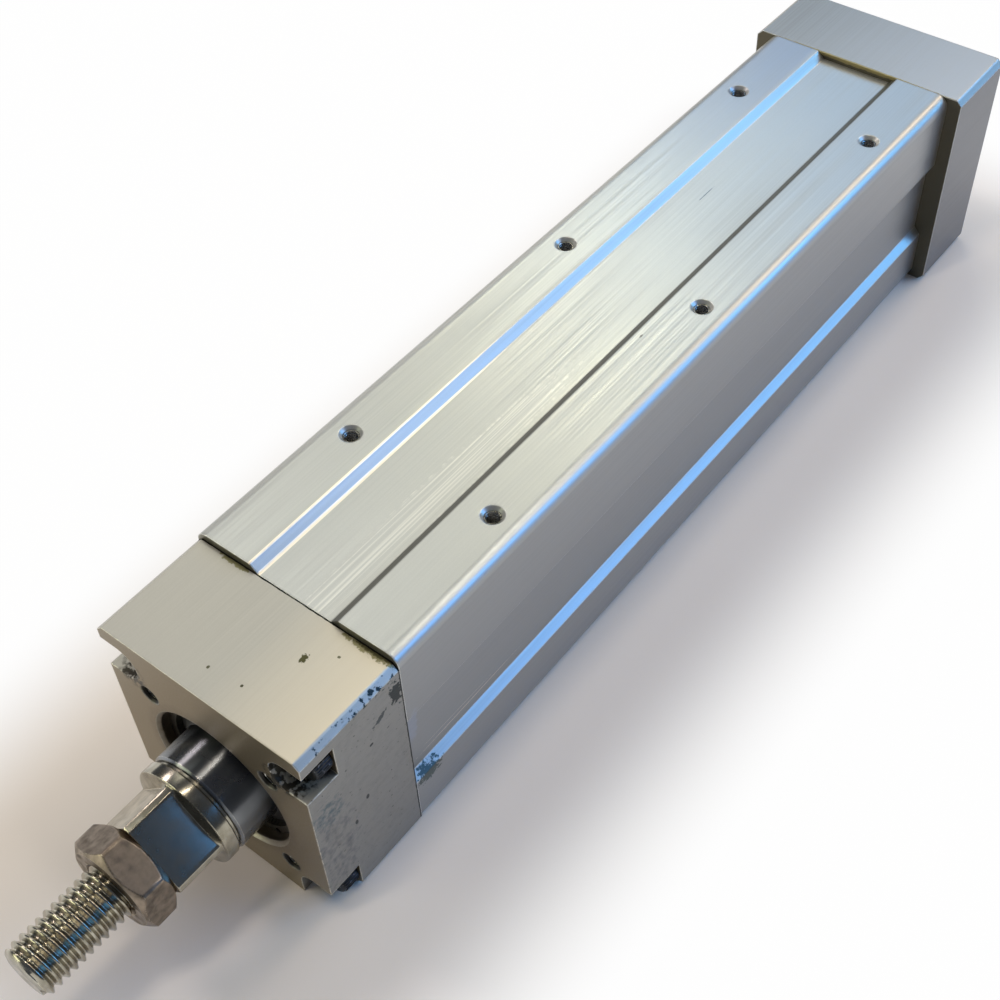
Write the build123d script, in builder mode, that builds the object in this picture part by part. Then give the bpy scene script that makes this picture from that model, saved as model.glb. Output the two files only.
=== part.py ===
from build123d import *
import os
from math import atan2, cos, degrees, radians, sin, sqrt

os.makedirs("parts", exist_ok=True)

# Electric linear actuator: a square extruded body with a motor in its rear half turns a ball screw,
# and the screw's nut pushes a round rod out of the front block. Millimetres.
# +X is the way the rod comes out, +Z is the face with the tapped mounting holes.
# The origin is on the rod's axis, at the front face of the front block.

# Body extrusion
body_width = 35.0
body_rise = 4.0
body_corner = 2.0
body_wall = 1.3
band_half = 7.7
band_depth = 1.2
band_run = 1.3
slot_depth = 1.5
slot_width = 6.0

# Front block and rear cover
block_length = 18.0
block_chamfer = 1.0
cover_length = 15.5
cover_overhang = 2.5
cover_chamfer = 1.0
spigot_length = 3.0
cover_spigot = 2.9
spigot_play = 0.05
mouth_step = 0.5
mouth_depth = 3.0
mouth_chamfer = 0.5

# Tapped holes a user bolts to, drilled for M3
tap_r = 1.25
tap_sink_r = 1.75
face_hole_half = 10.5
face_sink_r = 1.65
face_hole_depth = 7.0
top_hole_first = 25.0
top_hole_pitch = 50.0
top_hole_rows = 3
top_hole_half = 12.5
top_hole_depth = 6.0

# Cap screws that hold the block and the cover to the body
corner_inset_y = 3.0
corner_inset_z = 2.9
screw_r = 1.5
screw_play = 0.1
head_r = 2.75
head_height = 3.0
hex_key = 2.5
hex_key_depth = 1.5
pocket_r = 2.9
pocket_depth = 5.5
screw_grip = 8.0
screw_runout = 2.0
head_sink = 0.3
thread_play = 0.03

# Rod, rod end and lock nut
rod_r = 8.0
rod_bore_r = 5.2
rod_reach = 4.35
groove_width = 0.5
groove_r = 7.4
collar_length = 2.15
collar_chamfer = 0.3
wrench_across = 11.0
wrench_corner_r = 7.25
wrench_length = 7.5
wrench_turn = 48.0
stud_r = 4.0
stud_length = 19.0
stud_tip = 0.9
neck_drop = 0.25
nut_across = 13.0
nut_height = 5.0
nut_turn = 61.5
nut_bevel = 0.45
end_spigot_play = 0.1
end_spigot_length = 12.0

# Seal, bush and bumpers
seal_wall = 3.0
seal_length = 4.0
seal_play = 0.08
lip_root = 1.2
lip_crown = 1.6
lip_reach = 1.2
lip_land = 1.8
lip_heel = 0.8
bush_wall = 2.0
bush_play = 0.04
ring_groove_depth = 0.7
ring_thickness = 1.0
ring_band = 1.9
ring_gap = 7.0
plier_hole_r = 0.4
o_ring_section = 1.0
bumper_thickness = 2.0
bumper_rim = 2.5
bumper_clearance = 0.6
end_play = 0.3

# Travel and the nut's carrier
stroke = 50.0
carrier_length = 22.0
carrier_play = 0.2
rod_seat_depth = 8.0
pad_inset = 4.0
pad_play = 0.1
nut_flange_rim = 3.3
nut_flange_inset = 1.8
nut_flange = 3.0
nut_lip = 1.5
nut_clearance = 0.3
flange_screw_r = 0.8
flange_screw_depth = 5.0
flange_screw_gap = 1.0

# Ball screw
screw_shaft_r = 3.58
screw_front_gap = 2.0
ball_r = 0.8
ball_play = 0.02
ball_rings = 3
balls_in_ring = 14
tip_guide_length = 3.0
tip_guide_play = 0.08
tip_journal_r = 2.5

# Screw support and its two bearings
support_length = 16.0
support_play = 0.05
support_lip = 2.5
support_lip_r = 5.5
journal_r = 3.0
bearing_r = 7.5
bearing_width = 5.0
inner_race_wall = 1.35
outer_race_wall = 1.25
bearing_ball_play = 0.05
shoulder_drop = 0.1
balls_in_bearing = 8
cage_width = 3.0
cage_band = 0.8
retainer_rim = 1.3
retainer_length = 3.0
locknut_r = 5.6
locknut_length = 3.0
locknut_gap = 0.6
snap_ring_thickness = 1.2
snap_ring_band = 2.4
snap_groove = 0.9
seat_play = 0.02

# Shaft coupling
coupling_space = 13.0
coupling_gap = 0.5
coupling_r = 9.0
spider_length = 3.0
claw_width = 5.0
claw_inner = 5.0
claw_relief = 0.3
spider_arm = 3.0
spider_core_r = 4.0
spider_bore_r = 1.5
spider_relief = 0.5
sleeve_wall = 2.4
set_screw_r = 1.3
set_screw_length = 5.5

# Motor
motor_length = 32.0
motor_play = 0.15
case_wall = 0.8
shaft_r = 2.5
shaft_clearance = 0.3
bell_thickness = 4.5
air_gap = 0.3
stator_wall = 4.23
winding_length = 2.6
winding_gap = 0.4
winding_inset = 0.7
magnet_wall = 1.4
motor_bearing_r = 5.0
motor_bearing_length = 3.5
lead_r = 0.5
lead_inset = 1.9

# Encoder
disc_inset = 2.4
disc_thickness = 1.0
disc_hub_r = 4.2
disc_hub_length = 2.4
disc_hub_gap = 1.0
disc_holes = 18
disc_hole_r = 0.5
disc_hole_inset = 1.4
reading_gap = 0.4
sensor_height = 0.9
sensor_inset = 0.6
sensor_gap = 1.4
board_inset = 2.1
board_thickness = 1.6
board_hole_r = 3.2
board_screw_r = 0.8
board_screw_depth = 3.0
board_screw_gap = 0.5
board_head_r = 1.2
board_head_height = 0.9

# Inlet on the rear face
inlet_hole_r = 6.0
inlet_rim = 2.0
inlet_flange = 2.0
inlet_reach = 9.0
inlet_wall = 1.0
inlet_nut_r = 8.5
inlet_nut_length = 1.8
pin_r = 0.45
pin_circle = 2.6
pin_count = 7
pin_reach = 3.5
cover_back = 5.0

# Radii and places that follow from the sizes above
body_bottom = body_width / 2
body_top = body_width / 2 + body_rise
body_height = body_top + body_bottom
body_middle = (body_top - body_bottom) / 2
block_top = body_top - band_depth
cover_width = body_width + 2 * cover_overhang
bore_r = body_width / 2 - band_depth - slot_depth - body_wall
carrier_r = bore_r - carrier_play
nut_flange_r = carrier_r - nut_flange_inset
nut_body_r = nut_flange_r - nut_flange_rim
bumper_r = bore_r - bumper_rim
retainer_r = bearing_r + retainer_rim
motor_r = bore_r - motor_play
case_bore_r = motor_r - case_wall
bell_r = case_bore_r - seat_play
rotor_r = bell_r - stator_wall - air_gap
stator_length = motor_length - 2 * (bell_thickness + winding_length + winding_gap)
rotor_length = stator_length
lead_circle = bell_r - lead_inset
board_r = bore_r - board_inset
disc_r = board_r - disc_inset
mouth_r = rod_r + seal_wall + mouth_step
seal_r = rod_r + seal_wall
bush_r = rod_r + bush_wall
ring_groove_r = mouth_r + ring_groove_depth
slot_reach = bore_r + slot_depth
neck_r = stud_r - neck_drop
end_spigot_r = rod_bore_r - end_spigot_play
flange_screw_circle = (nut_body_r + nut_flange_r) / 2
race_inner_r = journal_r + inner_race_wall
race_outer_r = bearing_r - outer_race_wall
race_circle = (race_inner_r + race_outer_r) / 2
bearing_ball_r = (race_outer_r - race_inner_r) / 2 - bearing_ball_play
board_screw_circle = board_r - board_head_r
inlet_bore_r = inlet_hole_r - inlet_wall
corner_y = body_width / 2 - corner_inset_y
corner_z = body_bottom - corner_inset_z
corner_spots = [(y, z) for y in (-corner_y, corner_y) for z in (-corner_z, corner_z)]

# Stations along the rod's axis, from the front face back
body_front = -block_length
bumper_front = body_front - spigot_length
carrier_front = bumper_front - bumper_thickness - end_play - stroke
carrier_rear = carrier_front - carrier_length
support_front = carrier_rear - end_play - bumper_thickness
support_rear = support_front - support_length
motor_front = support_rear - coupling_space
motor_rear = motor_front - motor_length
body_rear = motor_rear - cover_spigot
body_length = body_front - body_rear
cover_rear = body_rear - cover_length
groove_front = rod_reach + groove_width
collar_front = groove_front + collar_length
wrench_front = collar_front + wrench_length
stud_front = wrench_front + stud_length
nut_front = wrench_front + nut_height
seal_rear = -mouth_depth - seal_length
bush_rear = body_front - spigot_length
screw_front = bumper_front + screw_front_gap
cavity_floor = cover_rear + cover_back
screw_tap_r = screw_r + thread_play
top_hole_middle = body_front - top_hole_first - top_hole_pitch * (top_hole_rows - 1) / 2


def across(station):
    """The plane across the rod's axis at a station: its own x is +Y and its own y is +Z"""
    return Plane.YZ.offset(station)


def disc(rear, front, radius, bore=0.0, mode=Mode.ADD):
    """A round slab, or a ring, about the rod's axis between two stations"""
    with BuildSketch(across(rear)) as section:
        Circle(radius)
        if bore > 0:
            Circle(bore, mode=Mode.SUBTRACT)
    extrude(section.sketch, amount=front - rear, mode=mode)


def rods_at(rear, front, radius, spots, mode=Mode.ADD):
    """Round bars, or holes, along the rod's axis at the given (y, z) places"""
    with BuildSketch(across(rear)) as section:
        with Locations(*spots):
            Circle(radius)
    extrude(section.sketch, amount=front - rear, mode=mode)


def circle_spots(count, radius, first=0.0):
    """Places evenly spaced on a circle about the rod's axis"""
    turns = [radians(first + 360 * i / count) for i in range(count)]
    return [(radius * cos(turn), radius * sin(turn)) for turn in turns]


def cap_screws(seat, away, shank_end, spots):
    """Socket cap screws: heads stand from the seat the way that away says, shanks run to shank_end"""
    crown = seat + away * head_height
    rods_at(seat, crown, head_r, spots)
    rods_at(seat, shank_end, screw_r, spots)
    with BuildSketch(across(crown)) as sockets:
        with Locations(*spots):
            RegularPolygon(hex_key / 2, 6, major_radius=False)
    extrude(sockets.sketch, amount=-away * hex_key_depth, mode=Mode.SUBTRACT)


def split_ring(rear, front, radius, bore, opening):
    """A snap ring: a ring with a gap on its underside, and a plier hole in each end"""
    lug = (radius + bore) / 2
    swing = 2 * degrees(atan2(opening / 2, lug))
    disc(rear, front, radius, bore)
    with BuildSketch(across(rear)) as gap:
        Rectangle(opening, 2 * radius, align=(Align.CENTER, Align.MAX))
    extrude(gap.sketch, amount=front - rear, mode=Mode.SUBTRACT)
    ends = [radians(270 - swing), radians(270 + swing)]
    rods_at(rear, front, plier_hole_r, [(lug * cos(a), lug * sin(a)) for a in ends], Mode.SUBTRACT)


# Body extrusion: a shallow sloped band runs along each of its four sides
with BuildPart() as body_extrusion:
    with BuildSketch(across(body_rear)):
        with Locations((0, body_middle)):
            RectangleRounded(body_width, body_height, body_corner)
        band_places = [((0, body_top), 180), ((body_width / 2, 0), 90),
                       ((0, -body_bottom), 0), ((-body_width / 2, 0), 270)]
        for place, turn in band_places:
            with Locations(place):
                Trapezoid(2 * band_half, band_depth, degrees(atan2(band_depth, band_run)), rotation=turn,
                          align=(Align.CENTER, Align.MIN), mode=Mode.SUBTRACT)
        Circle(bore_r, mode=Mode.SUBTRACT)
        Rectangle(2 * slot_reach, slot_width, mode=Mode.SUBTRACT)
    extrude(amount=body_length)
    with Locations((top_hole_middle, 0, body_top)):
        with GridLocations(top_hole_pitch, 2 * top_hole_half, top_hole_rows, 2):
            CounterSinkHole(tap_r, tap_sink_r, top_hole_depth, 90)
    rods_at(body_front - screw_grip - screw_runout, body_front, screw_tap_r, corner_spots, Mode.SUBTRACT)
    rods_at(body_rear, body_rear + screw_grip + screw_runout, screw_tap_r, corner_spots, Mode.SUBTRACT)
    disc(support_front, support_front + snap_ring_thickness + 2 * seat_play, bore_r + snap_groove,
         mode=Mode.SUBTRACT)
body_extrusion.part.label = "body_extrusion"
export_step(body_extrusion.part, "parts/body_extrusion.step")

# Front block: spigot in the body's bore, mouth for the seal, seat for the bush, open corner pockets
with BuildPart() as front_housing:
    with BuildSketch(across(body_front)):
        with Locations((0, (block_top - body_bottom) / 2)):
            Rectangle(body_width, block_top + body_bottom)
        chamfer(vertices(), block_chamfer)
    extrude(amount=block_length)
    disc(bumper_front, body_front, bore_r - spigot_play)
    disc(bumper_front, 0, bush_r + seat_play, mode=Mode.SUBTRACT)
    disc(seal_rear, 0, seal_r + seat_play, mode=Mode.SUBTRACT)
    disc(-mouth_depth, 0, mouth_r, mode=Mode.SUBTRACT)
    chamfer(front_housing.edges().filter_by(GeomType.CIRCLE).group_by(Axis.X)[-1], mouth_chamfer)
    disc(-mouth_depth, ring_thickness + 2 * seat_play - mouth_depth, ring_groove_r + seat_play,
         mode=Mode.SUBTRACT)
    disc(body_front - 2 * o_ring_section, body_front - o_ring_section + seat_play, bore_r,
         bore_r - o_ring_section - seat_play, mode=Mode.SUBTRACT)
    with BuildSketch(across(0)):
        for y, z in corner_spots:
            side = 1 if y > 0 else -1
            run = body_width / 2 - corner_y
            with Locations((y, z)):
                Circle(pocket_r)
            with Locations((y + side * run, z)):
                Rectangle(2 * run, 2 * pocket_r)
            if z < 0:
                drop = body_bottom - corner_z
                with Locations((y, z - drop)):
                    Rectangle(2 * pocket_r, 2 * drop)
                with Locations((y + side * run, z - drop)):
                    Rectangle(2 * run, 2 * drop)
    extrude(amount=-pocket_depth, mode=Mode.SUBTRACT)
    rods_at(body_front, 0, screw_r + screw_play, corner_spots, Mode.SUBTRACT)
    with Locations(across(0).location):
        with GridLocations(2 * face_hole_half, 2 * face_hole_half, 2, 2):
            CounterSinkHole(tap_r, face_sink_r, face_hole_depth, 90)
front_housing.part.label = "front_housing"
export_step(front_housing.part, "parts/front_housing.step")

with BuildPart() as front_housing_screws:
    cap_screws(-pocket_depth, 1, body_front - screw_grip, corner_spots)
front_housing_screws.part.label = "front_housing_screws"
export_step(front_housing_screws.part, "parts/front_housing_screws.step")

with BuildPart() as front_o_ring:
    disc(body_front - 2 * o_ring_section + seat_play, body_front - o_ring_section, bore_r - seat_play,
         bore_r - o_ring_section)
front_o_ring.part.label = "front_o_ring"
export_step(front_o_ring.part, "parts/front_o_ring.step")

# Wiper seal: a rubber ring whose lip leans forward onto the rod
with BuildPart() as wiper_seal:
    with BuildSketch(Plane.XZ):
        with BuildLine():
            lip_front = -mouth_depth + lip_reach
            lip_rear = lip_front - lip_land
            Polyline((seal_rear, rod_r + lip_root), (seal_rear, seal_r), (-mouth_depth, seal_r),
                     (-mouth_depth, rod_r + lip_crown), (lip_front, rod_r + seal_play),
                     (lip_rear, rod_r + seal_play), (lip_rear - lip_heel, rod_r + lip_root), close=True)
        make_face()
    revolve(axis=Axis.X)
wiper_seal.part.label = "wiper_seal"
export_step(wiper_seal.part, "parts/wiper_seal.step")

with BuildPart() as seal_retaining_ring:
    split_ring(-mouth_depth + seat_play, -mouth_depth + seat_play + ring_thickness, ring_groove_r,
               ring_groove_r - ring_band, ring_gap)
seal_retaining_ring.part.label = "seal_retaining_ring"
export_step(seal_retaining_ring.part, "parts/seal_retaining_ring.step")

with BuildPart() as rod_bushing:
    disc(bush_rear, seal_rear, bush_r, rod_r + bush_play)
rod_bushing.part.label = "rod_bushing"
export_step(rod_bushing.part, "parts/rod_bushing.step")

with BuildPart() as front_bumper:
    disc(bumper_front - bumper_thickness, bumper_front, bumper_r, rod_r + bumper_clearance)
front_bumper.part.label = "front_bumper"
export_step(front_bumper.part, "parts/front_bumper.step")

# Rod tube: polished, closed at its front by the rod end
with BuildPart() as rod_tube:
    disc(carrier_front - rod_seat_depth, rod_reach, rod_r, rod_bore_r)
    front_edges = rod_tube.edges().filter_by(GeomType.CIRCLE).group_by(Axis.X)[-1]
    chamfer(front_edges.sort_by(SortBy.RADIUS)[-1], collar_chamfer)
rod_tube.part.label = "rod_tube"
export_step(rod_tube.part, "parts/rod_tube.step")

# Rod end: one turned piece with its spigot in the tube, a groove, a collar, four wrench flats and a stud.
# The stud's thread is a plain cylinder of its outer size, with a thinner neck inside the nut.
with BuildPart() as rod_end:
    with BuildSketch(Plane.XZ):
        with BuildLine():
            Polyline((rod_reach - end_spigot_length, 0), (rod_reach - end_spigot_length, end_spigot_r),
                     (rod_reach, end_spigot_r), (rod_reach, groove_r), (groove_front, groove_r),
                     (groove_front, rod_r - collar_chamfer), (groove_front + collar_chamfer, rod_r),
                     (collar_front - collar_chamfer, rod_r), (collar_front, rod_r - collar_chamfer),
                     (collar_front, neck_r), (nut_front, neck_r), (nut_front, stud_r),
                     (stud_front - stud_tip, stud_r), (stud_front, stud_r - stud_tip), (stud_front, 0),
                     close=True)
        make_face()
    revolve(axis=Axis.X)
    with BuildSketch(across(collar_front)):
        Circle(wrench_corner_r)
        Rectangle(wrench_across, wrench_across, rotation=wrench_turn, mode=Mode.INTERSECT)
    extrude(amount=wrench_length)
rod_end.part.label = "rod_end"
export_step(rod_end.part, "parts/rod_end.step")

# Lock nut: a thin hexagon, bevelled on both faces
with BuildPart() as lock_nut:
    with BuildSketch(across(wrench_front)):
        RegularPolygon(nut_across / 2, 6, major_radius=False, rotation=nut_turn - 30)
        Circle(neck_r + thread_play, mode=Mode.SUBTRACT)
    extrude(amount=nut_height)
    nut_corner = nut_across / sqrt(3)
    with BuildSketch(Plane.XZ):
        with BuildLine():
            nut_face_r = nut_corner - 2 * nut_bevel
            Polyline((wrench_front, 0), (wrench_front, nut_face_r), (wrench_front + nut_bevel, nut_corner),
                     (nut_front - nut_bevel, nut_corner), (nut_front, nut_face_r), (nut_front, 0),
                     close=True)
        make_face()
    revolve(axis=Axis.X, mode=Mode.INTERSECT)
lock_nut.part.label = "lock_nut"
export_step(lock_nut.part, "parts/lock_nut.step")

# Nut carrier: rides in the body's bore, holds the rod in front and the ball nut behind
flange_spots = circle_spots(4, flange_screw_circle, 45)
pad_length = carrier_length - 2 * pad_inset
pad_rear = carrier_rear + pad_inset
with BuildPart() as nut_carrier:
    disc(carrier_rear, carrier_front, carrier_r)
    disc(carrier_front - rod_seat_depth, carrier_front, rod_r + seat_play, mode=Mode.SUBTRACT)
    disc(carrier_rear, carrier_front - rod_seat_depth, nut_body_r + seat_play, mode=Mode.SUBTRACT)
    disc(carrier_rear, carrier_rear + nut_flange + seat_play, nut_flange_r + seat_play, mode=Mode.SUBTRACT)
    rods_at(carrier_rear, carrier_rear + nut_flange + flange_screw_depth, flange_screw_r + thread_play,
            flange_spots, Mode.SUBTRACT)
    with BuildSketch(across(pad_rear)):
        for side in (-1, 1):
            with Locations((side * carrier_r, 0)):
                Rectangle(2 * (carrier_r - nut_flange_r), slot_width - 2 * pad_play + 2 * seat_play)
    extrude(amount=pad_length + seat_play, mode=Mode.SUBTRACT)
nut_carrier.part.label = "nut_carrier"
export_step(nut_carrier.part, "parts/nut_carrier.step")

with BuildPart() as guide_pads:
    with BuildSketch(across(pad_rear)):
        for side in (-1, 1):
            inner = nut_flange_r + seat_play
            outer = slot_reach - pad_play
            with Locations((side * (inner + outer) / 2, 0)):
                Rectangle(outer - inner, slot_width - 2 * pad_play)
    extrude(amount=pad_length)
guide_pads.part.label = "guide_pads"
export_step(guide_pads.part, "parts/guide_pads.step")

# Ball nut and its balls, three rings of them
nut_front_face = carrier_front - rod_seat_depth
ball_circle = screw_shaft_r + ball_r + ball_play
ball_zone = nut_front_face - carrier_rear - 2 * nut_lip
with BuildPart() as ball_nut:
    disc(carrier_rear, nut_front_face, nut_body_r, screw_shaft_r + nut_clearance)
    disc(carrier_rear, carrier_rear + nut_flange, nut_flange_r, screw_shaft_r + nut_clearance)
    disc(carrier_rear + nut_lip, nut_front_face - nut_lip, ball_circle + ball_r + ball_play,
         mode=Mode.SUBTRACT)
    rods_at(carrier_rear, carrier_rear + nut_flange, flange_screw_r + thread_play, flange_spots, Mode.SUBTRACT)
ball_nut.part.label = "ball_nut"
export_step(ball_nut.part, "parts/ball_nut.step")

with BuildPart() as ball_nut_balls:
    for ring in range(ball_rings):
        station = carrier_rear + nut_lip + ball_zone * (ring + 0.5) / ball_rings
        with Locations(*[(station, y, z) for y, z in circle_spots(balls_in_ring, ball_circle)]):
            Sphere(ball_r)
ball_nut_balls.part.label = "ball_nut_balls"
export_step(ball_nut_balls.part, "parts/ball_nut_balls.step")

with BuildPart() as ball_nut_screws:
    rods_at(carrier_rear, carrier_rear + nut_flange + flange_screw_depth - flange_screw_gap, flange_screw_r,
            flange_spots)
ball_nut_screws.part.label = "ball_nut_screws"
export_step(ball_nut_screws.part, "parts/ball_nut_screws.step")

# Ball screw: tip journal, threaded length as a plain bar, shoulder, bearing journal, coupling end
bearings_front = support_front - support_lip
bearings_rear = bearings_front - 2 * bearing_width
hub_front = support_rear - coupling_gap
spider_front = hub_front - (coupling_space - 2 * coupling_gap - spider_length) / 2
spider_rear = spider_front - spider_length
hub_rear = motor_front + coupling_gap
with BuildPart() as ball_screw:
    disc(support_front, screw_front - tip_guide_length, screw_shaft_r)
    disc(screw_front - tip_guide_length, screw_front, tip_journal_r)
    disc(bearings_front, support_front, race_inner_r - shoulder_drop)
    disc(bearings_rear - locknut_length, bearings_front, journal_r)
    disc(spider_front, bearings_rear - locknut_length, shaft_r)
ball_screw.part.label = "ball_screw"
export_step(ball_screw.part, "parts/ball_screw.step")

with BuildPart() as screw_tip_guide:
    disc(screw_front - tip_guide_length, screw_front, rod_bore_r - tip_guide_play, tip_journal_r + seat_play)
screw_tip_guide.part.label = "screw_tip_guide"
export_step(screw_tip_guide.part, "parts/screw_tip_guide.step")

# Screw support: a round housing held in the bore between a snap ring and the coupling sleeve
with BuildPart() as support_housing:
    disc(support_rear, support_front, bore_r - support_play, support_lip_r)
    disc(support_rear, bearings_front, bearing_r + seat_play, mode=Mode.SUBTRACT)
    disc(support_rear, bearings_rear, retainer_r + seat_play, mode=Mode.SUBTRACT)
support_housing.part.label = "support_housing"
export_step(support_housing.part, "parts/support_housing.step")

with BuildPart() as support_snap_ring:
    split_ring(support_front + seat_play, support_front + seat_play + snap_ring_thickness,
               bore_r + snap_groove - seat_play, bore_r + snap_groove - snap_ring_band, ring_gap)
support_snap_ring.part.label = "support_snap_ring"
export_step(support_snap_ring.part, "parts/support_snap_ring.step")

with BuildPart() as rear_bumper:
    disc(support_front, support_front + bumper_thickness, bumper_r, support_lip_r)
rear_bumper.part.label = "rear_bumper"
export_step(rear_bumper.part, "parts/rear_bumper.step")

with BuildPart() as bearing_outer_rings:
    for row in range(2):
        front = bearings_front - row * bearing_width
        disc(front - bearing_width + seat_play, front, bearing_r, race_outer_r)
bearing_outer_rings.part.label = "bearing_outer_rings"
export_step(bearing_outer_rings.part, "parts/bearing_outer_rings.step")

with BuildPart() as bearing_inner_rings:
    for row in range(2):
        front = bearings_front - row * bearing_width
        disc(front - bearing_width + seat_play, front, race_inner_r, journal_r + seat_play)
bearing_inner_rings.part.label = "bearing_inner_rings"
export_step(bearing_inner_rings.part, "parts/bearing_inner_rings.step")

bearing_rows = [bearings_front - bearing_width * (row + 0.5) for row in range(2)]
bearing_spots = [(station, y, z) for station in bearing_rows
                 for y, z in circle_spots(balls_in_bearing, race_circle)]
with BuildPart() as bearing_balls:
    with Locations(*bearing_spots):
        Sphere(bearing_ball_r)
bearing_balls.part.label = "bearing_balls"
export_step(bearing_balls.part, "parts/bearing_balls.step")

with BuildPart() as bearing_cages:
    for station in bearing_rows:
        disc(station - cage_width / 2, station + cage_width / 2, race_circle + cage_band / 2,
             race_circle - cage_band / 2)
    with Locations(*bearing_spots):
        Sphere(bearing_ball_r + seat_play, mode=Mode.SUBTRACT)
bearing_cages.part.label = "bearing_cages"
export_step(bearing_cages.part, "parts/bearing_cages.step")

with BuildPart() as bearing_retainer:
    disc(bearings_rear - retainer_length, bearings_rear, retainer_r, locknut_r + locknut_gap)
bearing_retainer.part.label = "bearing_retainer"
export_step(bearing_retainer.part, "parts/bearing_retainer.step")

with BuildPart() as bearing_locknut:
    disc(bearings_rear - locknut_length, bearings_rear, locknut_r, journal_r + seat_play)
bearing_locknut.part.label = "bearing_locknut"
export_step(bearing_locknut.part, "parts/bearing_locknut.step")

# Shaft coupling: two claw hubs and a rubber spider between them, inside a spacer sleeve
claw_middle = (claw_inner + coupling_r) / 2
with BuildPart() as coupling_hub_front:
    disc(spider_front, hub_front, coupling_r, shaft_r + seat_play)
    with BuildSketch(across(spider_front)):
        with Locations((claw_middle, 0), (-claw_middle, 0)):
            Rectangle(coupling_r - claw_inner - 2 * claw_relief, claw_width)
    extrude(amount=-spider_length + seat_play)
    with BuildSketch(Plane.XY):
        with Locations(((spider_front + hub_front) / 2, 0)):
            Circle(set_screw_r + thread_play)
    extrude(amount=coupling_r, mode=Mode.SUBTRACT)
coupling_hub_front.part.label = "coupling_hub_front"
export_step(coupling_hub_front.part, "parts/coupling_hub_front.step")

with BuildPart() as coupling_hub_rear:
    disc(hub_rear, spider_rear, coupling_r, shaft_r + seat_play)
    with BuildSketch(across(spider_rear)):
        with Locations((0, claw_middle), (0, -claw_middle)):
            Rectangle(claw_width, coupling_r - claw_inner - 2 * claw_relief)
    extrude(amount=spider_length - seat_play)
    with BuildSketch(Plane.XY):
        with Locations(((spider_rear + hub_rear) / 2, 0)):
            Circle(set_screw_r + thread_play)
    extrude(amount=coupling_r, mode=Mode.SUBTRACT)
coupling_hub_rear.part.label = "coupling_hub_rear"
export_step(coupling_hub_rear.part, "parts/coupling_hub_rear.step")

with BuildPart() as coupling_spider:
    with BuildSketch(across(spider_rear)):
        Circle(spider_core_r)
        for turn in (45, 135):
            Rectangle(2 * (coupling_r - spider_relief), spider_arm, rotation=turn)
        Circle(spider_bore_r, mode=Mode.SUBTRACT)
    extrude(amount=spider_length)
coupling_spider.part.label = "coupling_spider"
export_step(coupling_spider.part, "parts/coupling_spider.step")

with BuildPart() as coupling_set_screws:
    with BuildSketch(Plane.XY.offset(shaft_r)):
        with Locations(((spider_front + hub_front) / 2, 0), ((spider_rear + hub_rear) / 2, 0)):
            Circle(set_screw_r)
    extrude(amount=set_screw_length)
coupling_set_screws.part.label = "coupling_set_screws"
export_step(coupling_set_screws.part, "parts/coupling_set_screws.step")

with BuildPart() as coupling_sleeve:
    disc(motor_front, support_rear, bore_r - support_play, bore_r - support_play - sleeve_wall)
coupling_sleeve.part.label = "coupling_sleeve"
export_step(coupling_sleeve.part, "parts/coupling_sleeve.step")

# Motor: a round brushless motor, its two end bells set into a thin steel case
motor_middle = (motor_front + motor_rear) / 2
disc_rear = motor_rear - disc_hub_gap - disc_hub_length
board_front = disc_rear - reading_gap - sensor_height
board_rear = board_front - board_thickness
lead_spots = circle_spots(3, lead_circle, 90)
with BuildPart() as motor_case:
    disc(motor_rear, motor_front, motor_r, case_bore_r)
motor_case.part.label = "motor_case"
export_step(motor_case.part, "parts/motor_case.step")

with BuildPart() as motor_front_bell:
    disc(motor_front - bell_thickness, motor_front, bell_r, shaft_r + shaft_clearance)
    disc(motor_front - bell_thickness, motor_front - bell_thickness + motor_bearing_length,
         motor_bearing_r + seat_play, mode=Mode.SUBTRACT)
motor_front_bell.part.label = "motor_front_bell"
export_step(motor_front_bell.part, "parts/motor_front_bell.step")

with BuildPart() as motor_rear_bell:
    disc(motor_rear, motor_rear + bell_thickness, bell_r, shaft_r + shaft_clearance)
    disc(motor_rear + bell_thickness - motor_bearing_length, motor_rear + bell_thickness,
         motor_bearing_r + seat_play, mode=Mode.SUBTRACT)
    rods_at(motor_rear, motor_rear + bell_thickness, lead_r + seat_play, lead_spots, Mode.SUBTRACT)
motor_rear_bell.part.label = "motor_rear_bell"
export_step(motor_rear_bell.part, "parts/motor_rear_bell.step")

with BuildPart() as motor_bearings:
    for front in (motor_front - bell_thickness + motor_bearing_length, motor_rear + bell_thickness):
        disc(front - motor_bearing_length, front, motor_bearing_r, shaft_r + bush_play)
motor_bearings.part.label = "motor_bearings"
export_step(motor_bearings.part, "parts/motor_bearings.step")

stator_rear = motor_middle - stator_length / 2
stator_front = motor_middle + stator_length / 2
with BuildPart() as motor_stator:
    disc(stator_rear, stator_front, bell_r, rotor_r + air_gap)
motor_stator.part.label = "motor_stator"
export_step(motor_stator.part, "parts/motor_stator.step")

with BuildPart() as motor_windings:
    for front in (stator_front + winding_length, stator_rear):
        disc(front - winding_length, front, bell_r - winding_inset, rotor_r + air_gap + winding_inset)
motor_windings.part.label = "motor_windings"
export_step(motor_windings.part, "parts/motor_windings.step")

with BuildPart() as motor_leads:
    rods_at(board_front, stator_rear - winding_length, lead_r, lead_spots)
motor_leads.part.label = "motor_leads"
export_step(motor_leads.part, "parts/motor_leads.step")

with BuildPart() as motor_shaft:
    disc(disc_rear, spider_rear, shaft_r)
motor_shaft.part.label = "motor_shaft"
export_step(motor_shaft.part, "parts/motor_shaft.step")

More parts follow.
